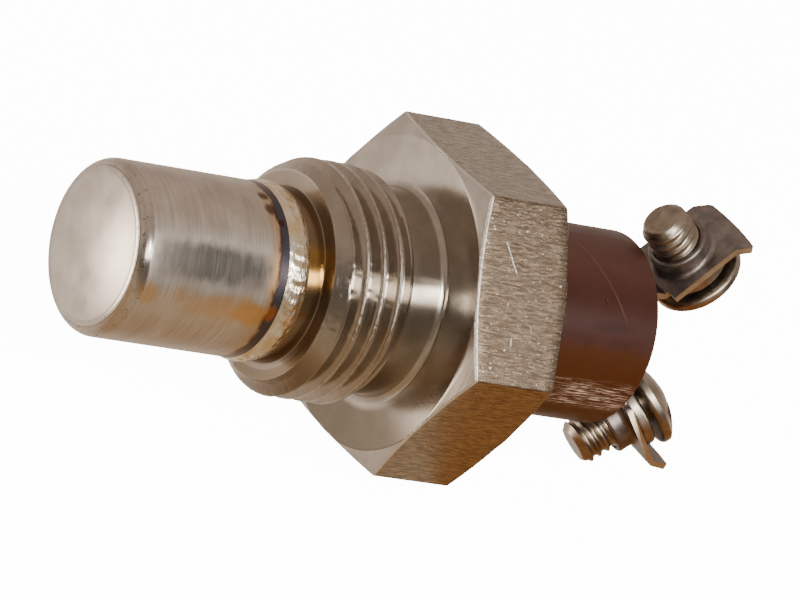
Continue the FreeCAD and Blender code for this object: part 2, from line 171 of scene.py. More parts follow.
class Surface(NodeWriter):  # patterns in millimetres along X and degrees round it, from straight up
    def __init__(self, name):
        self.material = bpy.data.materials.new(name)
        self.material.use_nodes = True
        super().__init__(self.material.node_tree)
        self.shader = self.tree.nodes["Principled BSDF"]
        place = self.node("ShaderNodeTexCoord").outputs["Object"]
        self.place = self.vector("MULTIPLY", place, (1 / mm, 1 / mm, 1 / mm))["Vector"]
        self.x, self.y, self.z = self.node("ShaderNodeSeparateXYZ", Vector=self.place).outputs
        self.turn = self.times(self.math("ARCTAN2", self.times(self.y, -1.0), self.z), 180 / math.pi)
        self.radius = self.math("SQRT", self.plus(self.times(self.y, self.y), self.times(self.z, self.z)))

    def mark(self, name):  # a number that the mesh carries
        return self.node("ShaderNodeAttribute", {"attribute_name": name}).outputs["Fac"]

    def stretched(self, alongX, acrossY, upZ):  # pattern space, in repeats for each millimetre
        return self.vector("MULTIPLY", self.place, (alongX, acrossY, upZ))["Vector"]

    def rolled(self, perX, perTurn):  # the same, wrapped round the axis
        return self.joined(self.times(self.x, perX), self.times(self.turn, perTurn), 0.0)

    def noise(self, vector, detail, roughness):
        return self.node("ShaderNodeTexNoise", Vector=vector, Scale=1.0, Detail=detail,
                         Roughness=roughness).outputs["Fac"]

    def band(self, value, low, high, soft):  # 1 between low and high
        return self.times(self.ramp(value, low - soft, low + soft),
                          self.ramp(value, high + soft, high - soft))

    def near(self, value, outer, inner):  # 1 where the value is close to zero
        return self.ramp(self.math("ABSOLUTE", value), outer, inner)

    def spot(self, x, turn, sizeX, sizeTurn, wobble=None, ragged=0.0):  # soft patch, ragged with a noise
        across = self.math("DIVIDE", self.less(self.x, x), sizeX)
        around = self.math("DIVIDE", self.less(self.turn, turn), sizeTurn)
        far = self.math("SQRT", self.plus(self.times(across, across), self.times(around, around)))
        if wobble is not None:
            far = self.plus(far, self.times(self.less(wobble, 0.5), ragged * 2))
        return self.ramp(far, 1.25, 0.55)

    def mix(self, share, first, second):  # from one colour to another
        made = self.node("ShaderNodeMix", {"data_type": "RGBA"})
        for key, value in (("Factor_Float", share), ("A_Color", first), ("B_Color", second)):
            self.put(next(s for s in made.inputs if s.identifier == key), value)
        return next(s for s in made.outputs if s.identifier == "Result_Color")

    def blend(self, share, first, second):  # from one number to another
        return self.math("MULTIPLY_ADD", share, self.less(second, first), first)

    def bump(self, height, distance, under=None):  # distance in millimetres, over another bump
        made = self.node("ShaderNodeBump", Height=height, Distance=distance * mm)
        if under is not None:
            self.put(made.inputs["Normal"], under)
        return made.outputs["Normal"]

    def finish(self, color, roughness, metallic=1.0, normal=None, **others):
        self.put(self.shader.inputs["Base Color"], color)
        self.put(self.shader.inputs["Roughness"], roughness)
        self.put(self.shader.inputs["Metallic"], metallic)
        self.put(self.shader.inputs["Normal"], normal)
        for key, value in others.items():
            self.put(self.shader.inputs[key.replace("_", " ")], value)
        return self.material


def dress(made, material):
    made.data.materials.clear()
    made.data.materials.append(material)


# Shapes made by Geometry Nodes

class ShapeTree(NodeWriter):  # a Geometry Nodes tree with named inputs, in millimetres
    def __init__(self, name, settings):
        super().__init__(bpy.data.node_groups.new(name, "GeometryNodeTree"))
        self.tree.is_modifier = True
        face = self.tree.interface
        face.new_socket("Geometry", in_out="INPUT", socket_type="NodeSocketGeometry")
        for label, value in settings.items():
            kind = "NodeSocketInt" if isinstance(value, int) else "NodeSocketFloat"
            face.new_socket(label, in_out="INPUT", socket_type=kind).default_value = value
        face.new_socket("Material", in_out="INPUT", socket_type="NodeSocketMaterial")
        face.new_socket("Geometry", in_out="OUTPUT", socket_type="NodeSocketGeometry")
        self.given = self.node("NodeGroupInput").outputs

    def sheet(self, rows, columns):  # a grid, and each point's shares along it and across it
        grid = self.node("GeometryNodeMeshGrid", Size_X=1.0, Size_Y=1.0, Vertices_X=rows, Vertices_Y=columns)
        place = self.node("GeometryNodeInputPosition").outputs[0]
        split = self.node("ShaderNodeSeparateXYZ", Vector=place).outputs
        turn = self.plus(split["Y"], 0.5)
        return grid.outputs["Mesh"], self.plus(split["X"], 0.5), turn

    def turned(self, sheet, x, radius, turn):  # the sheet bent once round the axis
        angle = self.times(turn, 2 * math.pi)
        place = self.joined(x, self.times(radius, self.math("SINE", angle), -1.0),
                            self.times(radius, self.math("COSINE", angle)))
        return self.node("GeometryNodeSetPosition", Geometry=sheet, Position=place).outputs[0]

    def step(self, value, start):  # from 0 to 1 as the value goes one further than start
        return self.node("ShaderNodeClamp", Value=self.less(value, start)).outputs[0]

    def together(self, *parts):
        made = self.node("GeometryNodeJoinGeometry")
        for part in parts:
            self.tree.links.new(part, made.inputs[0])
        return made.outputs[0]

    def end(self, shape):  # to metres, with the material
        shape = self.node("GeometryNodeTransform", Geometry=shape, Scale=(mm, mm, mm)).outputs[0]
        shape = self.node("GeometryNodeRealizeInstances", Geometry=shape).outputs[0]
        finished = self.node("GeometryNodeSetMaterial", Geometry=shape, Material=self.given["Material"])
        self.tree.links.new(finished.outputs[0], self.node("NodeGroupOutput").inputs[0])
        return self.tree


def grown(name, tree, settings, material, sharpDeg):  # what a tree makes, as a plain mesh
    made = placed(name, bpy.data.meshes.new(name + " seed"))
    step = made.modifiers.new(tree.name, "NODES")
    step.node_group = tree
    for item in tree.interface.items_tree:
        if item.in_out == "INPUT" and item.name in settings:
            step[item.identifier] = settings[item.name]
        elif item.in_out == "INPUT" and item.name == "Material":
            step[item.identifier] = material
    bpy.context.view_layer.update()
    ready = bpy.data.meshes.new_from_object(made.evaluated_get(bpy.context.evaluated_depsgraph_get()))
    made.modifiers.clear()
    made.data = ready
    ready.name = name
    finishMesh(ready, sharpDeg)
    return made


# Body, with its helical thread. X is measured from the seat face, and the probe's tip is at minus X

bodySettings = {
    "weldJoint": -12.98, "boreRadius": 6.35, "probeRadius": 6.95, "weldRoot": 0.35,
    "threadFront": -10.60, "threadFrontRadius": 8.30, "collarFillet": 0.14,
    "pitch": 1.5875, "crestRadius": 9.525, "crestFlat": 0.198, "depthShare": 0.61343, "soften": 0.05,
    "easing": 0.015, "lastCrest": -5.08, "facingTurn": 64.0, "runout": -3.07, "relief": 8.30,
    "reliefFillet": 0.62, "acrossFlats": 25.20, "length": 8.68, "turnedRadius": 12.50, "chamferDeg": 17.4,
    "clockingDeg": -2.0, "cornerBluntDeg": 0.22, "edgeRound": 0.16, "faceEdge": 0.06,
    "lipRadius": 8.01, "lipFront": 7.92, "flangeRadius": 8.97, "flangeSeat": 4.56, "skirtRadius": 7.32,
    "guideShoulder": -1.42,
    "wearSeed": 4, "wearSize": 2.2, "wearDepth": 0.09, "wearShare": 0.22,
    "shadedFlat": (28, 88), "collarHighlightTurns": (44, 70),  # turns round the axis: the flat with painted shade, and the collar's painted golden highlight
    "scratches": (  # x, turn, slope, half length and colour
        (3.0, 46, 0.12, 5.0, (238, 234, 228)), (3.6, 75, 0.0, 1.2, (240, 236, 230)),
        (2.0, 22, 0.22, 3.0, (70, 56, 46))),
    "colors": {
        "turnedDark": (176, 168, 158), "turnedLight": (194, 187, 178), "thread": (146, 128, 106),
        "brushedDark": (150, 140, 127), "brushedLight": (204, 195, 182),
        "shadedFlatDark": (104, 90, 76), "shadedFlatLight": (156, 139, 121), "speck": (248, 244, 238),
        "lowFaceShade": (104, 92, 72), "collar": (136, 116, 92), "collarHighlight": (178, 134, 74),
        "threadFace": (148, 132, 114), "threadFaceLowShade": (128, 112, 92), "crest": (218, 212, 202),
        "wornEdge": (236, 232, 226)}}


def bodyAngles():  # finer beside the hexagon's corners
    near = [0.0, 0.3, 0.7, 1.4, 2.4]
    middle = list(np.linspace(3.5, 56.5, 54))
    sector = near + middle + [60 - a for a in reversed(near[1:])]
    corner = -30 + bodySettings["clockingDeg"]
    turns = [corner + 60 * k + a for k in range(6) for a in sector] + [corner + 360]
    return np.radians(np.array(turns))


def hexRadius(angles):  # from the axis to the hexagon's side, the corners a little blunt
    s = bodySettings
    fromCorner = (np.degrees(angles) + 30 - s["clockingDeg"] + 30) % 60 - 30
    fromMiddle = 30 - np.maximum(np.abs(fromCorner), s["cornerBluntDeg"])
    return s["acrossFlats"] / 2 / np.cos(np.radians(fromMiddle))


def chamferDrop(radius):  # how far the ball-shaped chamfer lies behind the seat face
    s = bodySettings
    halfWay = (s["turnedRadius"] + s["acrossFlats"] / math.sqrt(3)) / 2
    ball = halfWay / math.sin(math.radians(s["chamferDeg"]))
    return math.sqrt(ball ** 2 - s["turnedRadius"] ** 2) - np.sqrt(ball ** 2 - radius ** 2)


def ridgeRadius(offset):  # 60 degree thread profile, soft at the crest and the root
    s = bodySettings
    pitch, crest = s["pitch"], s["crestRadius"]
    u = np.abs((offset + pitch / 2) % pitch - pitch / 2)
    flank = crest - np.maximum(u - s["crestFlat"] / 2, 0) / math.tan(math.radians(30))
    topped = softMin(flank, np.full_like(flank, crest), s["soften"])
    return -softMin(-topped, np.full_like(flank, s["depthShare"] * pitch - crest), s["soften"])


def wornAway(rows):  # small random flats along the crests
    s = bodySettings
    start = Vector((s["wearSeed"], 0, 0))
    worn = []
    for row in rows:
        lumps = np.array([noise.noise(Vector(p) * s["wearSize"] + start) for p in row])
        radius = np.hypot(row[:, 1], row[:, 2])
        row = row.copy()
        row[:, 1:] *= (1 - s["wearDepth"] * np.maximum(lumps - s["wearShare"], 0) / radius)[:, None]
        worn.append(row)
    return worn


def threadRows(angles):  # rows along the helix, closest together at crests and roots
    s = bodySettings
    pitch, easing = s["pitch"], s["easing"]
    turns = (angles - angles[0]) / (2 * math.pi)
    facing = (math.radians(s["facingTurn"]) - angles[0]) / (2 * math.pi)
    base = s["lastCrest"] - pitch * facing
    steps = [0.09, 0.16, 0.24, 0.38, 0.54, 0.64, 0.72]
    offsets = [-0.794] + [-step for step in reversed(steps)] + [0.0] + steps
    rows = []
    for k in range(-4, 3):  # whole ridges; what lies past either end of the thread is clipped
        for offset in offsets:
            x = np.clip(base + pitch * k + offset + pitch * turns, s["threadFront"], s["runout"])
            chamfer = s["threadFrontRadius"] + (x - s["threadFront"])
            wall = s["relief"] + (s["runout"] - x)
            radius = softMin(softMin(ridgeRadius(x - base - pitch * turns), chamfer, easing), wall, easing)
            rows.append(ringOf(angles, x, radius))
    return wornAway(rows)


def bodyRows():  # from the weld joint over the outside to the rear, and back along the inside
    s = bodySettings
    angles = bodyAngles()
    front, probe, root = s["weldJoint"], s["probeRadius"], s["weldRoot"]
    small, fillet, edge = s["collarFillet"], s["reliefFillet"], s["edgeRound"]
    collarEnd, faceEdge = s["threadFront"] - small, s["turnedRadius"]
    profile = [(front, s["boreRadius"]), (front, probe - root), (front + root, probe), (collarEnd, probe)]
    for a in np.radians([-60, -30, 0]):
        profile.append((collarEnd + small * math.cos(a), probe + small + small * math.sin(a)))
    rows = [ringOf(angles, x, r) for x, r in profile]
    rows += threadRows(angles)
    for a in np.radians([-90, -70, -50, -30, -10, 0]):
        radius = s["relief"] + fillet + fillet * math.sin(a)
        rows.append(ringOf(angles, -fillet + fillet * math.cos(a), radius))
    rows.append(ringOf(angles, 0.0, faceEdge - s["faceEdge"]))
    outer = hexRadius(angles)
    chamfer = []
    for share in (0.0, 0.25, 0.5, 0.75, 1.0):
        radius = (faceEdge + s["faceEdge"]) * (1 - share) + (outer - edge) * share
        chamfer.append((chamferDrop(radius), radius))
    for a in np.radians([20, 40, 60, 90]):
        back = edge * (1 - math.cos(a))
        chamfer.append((chamferDrop(outer) + back, outer - edge * (1 - math.sin(a))))
    rows += [ringOf(angles, x, r) for x, r in chamfer]
    first = chamfer[-1][0]
    for share in (0.1, 0.3, 0.5, 0.7, 0.9):
        rows.append(ringOf(angles, first * (1 - share) + (s["length"] - first) * share, outer))
    rows += [ringOf(angles, s["length"] - x, r) for x, r in reversed(chamfer)]
    rows.append(ringOf(angles, s["length"], faceEdge - s["faceEdge"]))
    inside = [(s["length"], s["lipRadius"]), (s["lipFront"], s["lipRadius"]),
              (s["lipFront"], s["flangeRadius"]), (s["flangeSeat"], s["flangeRadius"]),
              (s["flangeSeat"], s["skirtRadius"]), (s["guideShoulder"], s["skirtRadius"]),
              (s["guideShoulder"], s["boreRadius"])]
    return rows + [ringOf(angles, x, r) for x, r in inside]


def markHexagon(made):  # the flats, and the rounding between them and the front chamfer
    s = bodySettings
    mesh, edge = made.data, s["edgeRound"]
    worn, flat = [], []
    for face in mesh.polygons:
        x, y, z = face.center / mm
        radius = math.hypot(y, z)
        outer = float(hexRadius(np.array([math.atan2(-y, z)]))[0])
        along = x - float(chamferDrop(outer))
        rounded = -0.03 < along < edge and outer - radius < edge * 0.98
        worn.append(1.0 if rounded else 0.0)
        beside = radius > s["turnedRadius"] and abs(face.normal.x) < 0.3
        flat.append(1.0 if beside and not rounded else 0.0)
    for name, marks in (("wornEdge", worn), ("flatFace", flat)):
        layer = mesh.attributes.new(name, "FLOAT", "FACE")
        layer.data.foreach_set("value", marks)


def brushedColor(m, grain):  # the flats, with painted shade on the one that faces the strip light
    s, c = bodySettings, paints(bodySettings)
    tone = m.ramp(grain, 0.35, 0.7)
    color = m.mix(tone, c["brushedDark"], c["brushedLight"])
    # painted shade: the flat that faces the strip light is drawn darker
    color = m.mix(m.band(m.turn, *s["shadedFlat"], 0.5), color, m.mix(tone, c["shadedFlatDark"], c["shadedFlatLight"]))
    # painted glints: sparse near-white specks over the flats
    specks = m.ramp(m.noise(m.stretched(3.0, 4.0, 4.0), 3.0, 0.6), 0.66, 0.70)
    color = m.mix(m.times(specks, 0.9), color, c["speck"])
    for x, turn, slope, length, shade in s["scratches"]:
        across = m.less(m.x, m.plus(x, m.times(m.less(m.turn, turn), slope)))
        along = m.band(m.turn, turn - length, turn + length, 0.8)
        color = m.mix(m.times(m.near(across, 0.08, 0.03), along), color, paint(*shade))
    return color


def bodyMaterial():
    s, c = bodySettings, paints(bodySettings)
    m = Surface("body steel")
    flats, worn = m.mark("flatFace"), m.mark("wornEdge")  # set by markHexagon
    turned = m.less(1.0, flats)
    grain = m.noise(m.stretched(0.9, 7.0, 7.0), 4.0, 0.6)
    pits = m.noise(m.stretched(5.0, 7.0, 7.0), 5.0, 0.7)
    cloud = m.noise(m.stretched(0.35, 0.35, 0.35), 3.0, 0.5)
    front = s["threadFront"]

    thread = m.band(m.x, front + 0.05, s["runout"] - 0.13, 0.1)
    color = m.mix(m.ramp(cloud, 0.3, 0.7), c["turnedDark"], c["turnedLight"])
    color = m.mix(m.times(thread, 0.22), color, c["thread"])
    color = m.mix(flats, color, brushedColor(m, grain))
    seatPlane = m.near(m.x, 0.05, 0.02)
    # painted shade: the turned seat face is drawn darker towards its lower side
    lowFaceShade = m.times(m.ramp(m.z, -3.0, -9.0), m.ramp(m.radius, 9.0, 9.6), seatPlane)
    color = m.mix(m.times(lowFaceShade, 0.8), color, c["lowFaceShade"])
    collar = m.times(m.band(m.x, s["weldJoint"] - 0.22, front - 0.02, 0.12), m.ramp(m.radius, 7.4, 7.1))
    # the collar's heat tint, with a painted golden highlight in the band of turns that faces the strip light
    collarHighlightBand = m.band(m.turn, *s["collarHighlightTurns"], 7)
    color = m.mix(collar, color, m.mix(collarHighlightBand, c["collar"], c["collarHighlight"]))
    threadFace = m.times(m.near(m.less(m.x, front), 0.12, 0.05), m.ramp(m.radius, 8.3, 8.1))
    color = m.mix(m.times(threadFace, m.less(1.0, collar), 0.6), color, c["threadFace"])
    # painted shade: the thread's front face and chamfer drawn darker towards the lower side
    faceLowShade = m.times(m.band(m.x, front - 0.2, front + 1.1, 0.1), m.ramp(m.turn, 95, 125),
                      m.ramp(m.radius, 7.35, 7.6))
    color = m.mix(m.times(faceLowShade, 0.75), color, c["threadFaceLowShade"])
    # painted highlight: lighter lines along the thread's crests
    crest = m.times(m.band(m.x, front + 0.2, s["lastCrest"] + 0.48, 0.1),
                    m.ramp(m.radius, s["crestRadius"] - 0.145, s["crestRadius"] - 0.025))
    color = m.mix(m.times(crest, m.ramp(pits, 0.42, 0.58, 0.15, 0.6)), color, c["crest"])
    color = m.mix(worn, color, c["wornEdge"])

    rings = m.noise(m.rolled(9.0, 0.015), 4.0, 0.6)
    roughness = m.plus(m.times(flats, m.ramp(grain, 0.2, 0.8, 0.32, 0.22)),
                       m.times(turned, m.ramp(rings, 0.2, 0.8, 0.15, 0.22)))
    roughness = m.blend(worn, roughness, 0.14)
    faceRings = m.noise(m.joined(m.times(m.radius, 7.0), m.times(m.turn, 0.01), m.x), 4.0, 0.6)
    seatFace = m.times(seatPlane, m.ramp(m.radius, 8.9, 9.0))
    normal = m.bump(m.times(rings, turned, m.less(1.0, seatFace)), 0.004)
    normal = m.bump(m.times(faceRings, seatFace), 0.004, under=normal)
    normal = m.bump(m.times(grain, flats), 0.03, under=normal)
    normal = m.bump(m.times(pits, m.plus(m.times(flats, 0.4), worn, crest)), 0.06, under=normal)
    return m.finish(color, roughness, normal=normal)


def makeBody():
    made = gridObject("body_detailed", bodyRows(), closed=True, sharpDeg=24.0)
    markHexagon(made)
    standsFor(made, "body", "switch")
    dress(made, bodyMaterial())


# Sensing cup and weld

cupSettings = {
    "tip": -27.72, "crown": 0.20, "fillet": 1.15, "radius": 6.95, "rear": -13.02, "weldRoot": 0.35,
    "bore": 6.35, "insideEnd": -26.90, "innerFillet": 0.30, "around": 256,
    "endFace": 6.0, "toolRing": (6.18, 6.32),
    "dullShadeTurns": (51, 80), "dullShadeReach": (-26.4, -14.9), "strawReach": (-27.0, -14.5),
    "smudgeShade": (-21.0, 64, 6.0, 13),  # x, turn, half length and half turn
    "stains": (  # the same, and the strength
        (-18.0, 93, 4.6, 10, 0.35), (-16.4, 94, 2.4, 8, 0.55), (-26.0, 90, 1.0, 8, 0.4),
        (-23.3, 88, 0.9, 7, 0.22)),
    "burns": (  # the same as a stain, and the colour
        (-15.3, 8, 0.45, 4, 0.85, "burn"), (-15.2, 20, 0.5, 5, 0.85, "burn"),
        (-14.5, 30, 0.3, 3, 0.85, "burn"), (-14.5, 91, 0.5, 6, 0.55, "orange")),
    "colors": {
        "steelDark": (206, 196, 186), "steelLight": (222, 214, 206), "streak": (120, 108, 98),
        "dullShade": (96, 86, 77), "smudgeShade": (58, 54, 52), "straw": (224, 192, 130), "stainAndWarmReflection": (228, 170, 74),
        "tan": (196, 150, 84), "brown": (92, 64, 44), "blue": (88, 88, 98), "burn": (78, 48, 34),
        "orange": (206, 124, 40), "ring": (130, 116, 104), "speck": (84, 76, 70)}}


def cupRows():  # from the middle of the end, over the outside and back along the inside
    s = cupSettings
    angles = np.linspace(0, 2 * math.pi, s["around"] + 1)
    flat, rim = s["radius"] - s["fillet"], s["tip"] + s["crown"]
    profile = [(s["tip"] + s["crown"] * (r / flat) ** 2, r) for r in np.linspace(0, flat, 15)]
    for a in np.radians(np.linspace(9, 90, 10)):
        profile.append((rim + s["fillet"] * (1 - math.cos(a)), flat + s["fillet"] * math.sin(a)))
    profile += [(s["rear"] - s["weldRoot"], s["radius"]), (s["rear"], s["radius"] - s["weldRoot"]),
                (s["rear"], s["bore"])]
    inner = s["innerFillet"]
    for a in np.radians(np.linspace(0, 90, 5)):
        profile.append((s["insideEnd"] + inner * (1 - math.sin(a)), s["bore"] - inner * (1 - math.cos(a))))
    profile.append((s["insideEnd"], 0.0))
    return [ringOf(angles, x, r) for x, r in profile]


def tubeColor(m, streaks, cloud, around, dullShade, smudgeShade):  # polished steel, stained, and darker on the side that faces the strip light: partly rubbed dull, partly painted shade
    s, c = cupSettings, paints(cupSettings)
    color = m.mix(m.ramp(cloud, 0.3, 0.7), c["steelDark"], c["steelLight"])
    color = m.mix(m.times(around, m.ramp(streaks, 0.35, 0.65, 0.22, 0.0)), color, c["streak"])
    # painted shade along the band that faces the strip light, over rubbed dull metal
    color = m.mix(m.times(dullShade, 0.75), color, c["dullShade"])
    # a darker patch in that band: partly a smudge, partly painted shade
    color = m.mix(m.times(smudgeShade, 0.95), color, c["smudgeShade"])
    straw = m.times(m.ramp(m.turn, 80, 90), m.ramp(m.turn, 118, 96), m.band(m.x, *s["strawReach"], 1.2))
    color = m.mix(m.times(straw, 0.2), color, c["straw"])
    for x, turn, sizeX, sizeTurn, share in s["stains"]:
        stainAndWarmReflection = m.spot(x, turn, sizeX, sizeTurn, cloud, 0.8)
        color = m.mix(m.times(stainAndWarmReflection, share), color, c["stainAndWarmReflection"])
    return color


def heatTint(m, color, wobble, fine):  # tan, brown and blue towards the weld, and burnt spots
    c = paints(cupSettings)
    edge = m.plus(m.x, m.times(m.less(wobble, 0.5), 1.5))
    facing = m.plus(0.55, m.times(m.band(m.turn, -5, 120, 30), 0.45))
    color = m.mix(m.times(m.ramp(edge, -16.0, -14.9), facing, 0.6), color, c["tan"])
    color = m.mix(m.times(m.ramp(edge, -15.1, -14.7), facing), color, c["brown"])
    blue = m.times(m.ramp(m.x, -14.9, -14.5), facing, m.ramp(wobble, 0.3, 0.6, 0.6, 1.0))
    color = m.mix(blue, color, c["blue"])
    for x, turn, sizeX, sizeTurn, share, shade in cupSettings["burns"]:
        burn = m.spot(x, turn, sizeX, sizeTurn, fine, 0.8)
        color = m.mix(m.times(burn, share), color, c[shade])
    return color


def cupMaterial():
    s, c = cupSettings, paints(cupSettings)
    endRadius = s["endFace"]
    m = Surface("cup steel")
    streaks = m.noise(m.rolled(6.0, 0.02), 4.0, 0.65)
    wobble = m.noise(m.rolled(1.3, 0.06), 4.0, 0.6)
    fine = m.noise(m.rolled(14.0, 0.05), 3.0, 0.6)
    cloud = m.noise(m.stretched(0.4, 0.4, 0.4), 3.0, 0.5)
    endFace = m.ramp(m.radius, endRadius, endRadius - 0.25)
    around = m.less(1.0, endFace)
    fillet = m.times(m.ramp(m.x, -26.4, -26.7), around)

    # the band of turns that faces the strip light: rougher rubbed metal, with painted shade over its
    # reflection
    dullShade = m.times(m.band(m.turn, *s["dullShadeTurns"], 7), m.band(m.x, *s["dullShadeReach"], 1.2))
    # a dark, rougher patch: partly a smudge, partly painted shade over the strip light's reflection
    smudgeShade = m.times(m.spot(*s["smudgeShade"], wobble, 0.6), m.ramp(streaks, 0.3, 0.6, 0.6, 1.0),
                     m.ramp(m.x, -25.5, -21.0, 0.6, 1.0))
    color = heatTint(m, tubeColor(m, streaks, cloud, around, dullShade, smudgeShade), wobble, fine)
    ring = m.times(m.band(m.radius, *s["toolRing"], 0.04), m.ramp(m.x, s["tip"] + 0.42, s["tip"] + 0.22))
    color = m.mix(m.times(ring, 0.5), color, c["ring"])
    specks = m.ramp(m.noise(m.stretched(3.0, 3.0, 3.0), 4.0, 0.7), 0.60, 0.66)
    color = m.mix(m.times(fillet, specks, 0.7), color, c["speck"])

    roughness = m.plus(m.ramp(streaks, 0.25, 0.75, 0.34, 0.44),
                       m.times(m.math("MAXIMUM", smudgeShade, dullShade), 0.16))
    roughness = m.blend(fillet, roughness, m.ramp(cloud, 0.25, 0.75, 0.12, 0.2))
    roughness = m.blend(endFace, roughness, m.ramp(cloud, 0.25, 0.75, 0.24, 0.34))
    dome = m.times(endFace, m.less(1.0, m.times(m.radius, m.radius, 1 / endRadius ** 2)))
    normal = m.bump(m.times(fine, around), 0.003)
    normal = m.bump(ring, 0.03, under=normal)
    normal = m.bump(dome, 0.5, under=normal)
    # the smudge and painted-shade patch is also less metallic
    metallic = m.less(1.0, m.times(smudgeShade, 0.95))
    return m.finish(color, roughness, metallic=metallic, normal=normal)


weldSettings = {
    "Middle": -13.0, "Half Width": 0.95, "Crown": 0.20, "Root": 0.35, "Joint Gap": 0.02,
    "Probe Radius": 6.95, "Ripples": 46, "Ripple Share": 0.16, "Lump Share": 0.8, "Sway": 0.16,
    "Seed": 9.0, "Around": 460, "Rows": 17}

weldLooks = {"colors": {"dark": (238, 214, 170), "light": (252, 244, 228), "soot": (120, 92, 62)}}


def weldTree():  # a crowned ring of ripples, with the root that fills the joint under it
    t = ShapeTree("weld bead", weldSettings)
    g = t.given
    columns, middle, halfWidth = t.plus(g["Around"], 1), g["Middle"], g["Half Width"]

    # crowned outside, its ripples leaning back at the edges and its lumps never quite the same
    ring, along, turn = t.sheet(g["Rows"], columns)
    share = t.less(t.times(along, 2.0), 1.0)
    rise = t.less(1.0, t.times(share, share))
    angle = t.times(turn, 2 * math.pi)
    wave = t.math("COSINE", t.less(t.times(g["Ripples"], angle), t.times(rise, 3.0)))
    place = t.joined(t.plus(t.times(share, 1.2), g["Seed"]), t.times(t.math("SINE", angle), 3.4),
                     t.times(t.math("COSINE", angle), 3.4))
    lump = t.less(t.node("ShaderNodeTexNoise", Vector=place, Scale=1.0, Detail=0.0).outputs[0], 0.5)
    swell = t.plus(1.0, t.times(wave, g["Ripple Share"]), t.times(lump, g["Lump Share"]))
    radius = t.plus(g["Probe Radius"], t.times(g["Crown"], rise, swell))
    x = t.plus(middle, t.times(halfWidth, share), t.times(rise, lump, g["Sway"]))
    bead = t.turned(ring, x, radius, turn)

    # underside, on both pieces and down into the joint, as along goes from 0 to 5
    under, along, turn = t.sheet(6, columns)
    along = t.times(along, 5.0)
    edge = t.plus(g["Joint Gap"], g["Root"])
    outer = t.less(halfWidth, edge)
    x = t.less(t.plus(middle, halfWidth), t.times(outer, t.plus(t.step(along, 0.0), t.step(along, 4.0))))
    x = t.less(x, t.times(g["Root"], t.plus(t.step(along, 1.0), t.step(along, 3.0))))
    x = t.less(x, t.times(g["Joint Gap"], t.step(along, 2.0), 2.0))
    depth = t.times(g["Root"], t.less(t.step(along, 1.0), t.step(along, 3.0)))
    root = t.turned(under, x, t.less(g["Probe Radius"], depth), turn)

    outside = t.node("GeometryNodeFlipFaces", Mesh=t.together(bead, root)).outputs[0]
    return t.end(t.node("GeometryNodeMergeByDistance", Geometry=outside, Distance=0.001).outputs[0])


def weldMaterial():
    c = paints(weldLooks)
    m = Surface("weld metal")
    lumps = m.noise(m.rolled(1.5, 0.075), 2.0, 0.5)
    fine = m.noise(m.stretched(9.0, 9.0, 9.0), 4.0, 0.65)
    color = m.mix(m.ramp(lumps, 0.35, 0.65), c["dark"], c["light"])
    color = m.mix(m.times(m.ramp(fine, 0.38, 0.30), 0.5), color, c["soot"])
    normal = m.bump(lumps, 0.2)
    normal = m.bump(fine, 0.004, under=normal)
    return m.finish(color, m.ramp(fine, 0.3, 0.7, 0.2, 0.34), normal=normal)


def makeProbe():
    cup = gridObject("sensing_cup_polished", cupRows(), closed=False, sharpDeg=30.0)
    standsFor(cup, "sensing_cup", "switch")
    dress(cup, cupMaterial())
    bead = grown("weld_bead_rippled", weldTree(), weldSettings, weldMaterial(), sharpDeg=50.0)
    standsFor(bead, "weld_bead", "switch")


# Header

headerSettings = {
    "scuffTurns": (101, 120), "scuffReach": (11, 21.2), "flowLine": 13.9, "flowSlope": 0.075,
    "smear": (17.0, 64, 2.2, 3.5), "patch": (20.9, 10, 0.9, 8),  # x, turn, half length and half turn
    "pit": (16.3, 50, 0.14, 1.1),
    "colors": {
        "dark": (70, 39, 32), "light": (78, 44, 36), "facing": (60, 25, 15), "below": (75, 38, 12),
        "smear": (52, 15, 9), "patch": (56, 26, 20), "scuff": (240, 208, 184), "pit": (38, 14, 10),
        "flowLine": (170, 110, 92)}}


def headerMaterial():
    s, c = headerSettings, paints(headerSettings)
    m = Surface("phenolic")
    cloud = m.noise(m.stretched(0.5, 0.5, 0.5), 3.0, 0.5)
    flow = m.noise(m.rolled(0.6, 0.09), 4.0, 0.6)
    color = m.mix(m.ramp(cloud, 0.3, 0.7), c["dark"], c["light"])
    # painted shade: darker in the band of turns that faces the strip light
    color = m.mix(m.band(m.turn, 36, 76, 14), color, c["facing"])
    # painted warm bounce light: the lower side drawn more orange, its edge wavy with the flow noise
    border = m.plus(m.turn, m.times(m.less(flow, 0.5), 12.0))
    color = m.mix(m.ramp(border, 73, 80), color, c["below"])
    color = m.mix(m.times(m.spot(*s["smear"], flow, 0.9), 0.9), color, c["smear"])
    color = m.mix(m.times(m.spot(*s["patch"], flow, 0.8), 0.6), color, c["patch"])
    scuffs = m.times(m.ramp(m.noise(m.rolled(0.4, 1.3), 5.0, 0.7), 0.51, 0.60),
                     m.band(m.turn, *s["scuffTurns"], 5), m.band(m.x, *s["scuffReach"], 1.0))
    color = m.mix(m.times(scuffs, 0.95), color, c["scuff"])
    pit = m.spot(*s["pit"])
    color = m.mix(pit, color, c["pit"])
    slope = m.less(m.x, m.plus(s["flowLine"], m.times(m.turn, s["flowSlope"])))
    line = m.times(m.near(slope, 0.09, 0.03), m.band(m.turn, 8, 60, 6))
    color = m.mix(m.times(line, 0.16), color, c["flowLine"])
    roughness = m.plus(m.ramp(cloud, 0.3, 0.7, 0.38, 0.46), m.times(scuffs, 0.2))
    raised = m.less(m.times(line, -0.3), m.plus(pit, m.times(scuffs, 0.5)))
    normal = m.bump(raised, 0.04)
    normal = m.bump(flow, 0.02, under=normal)
    return m.finish(color, roughness, metallic=0.0, normal=normal, Specular_IOR_Level=0.4)


# Terminals, screws and washers

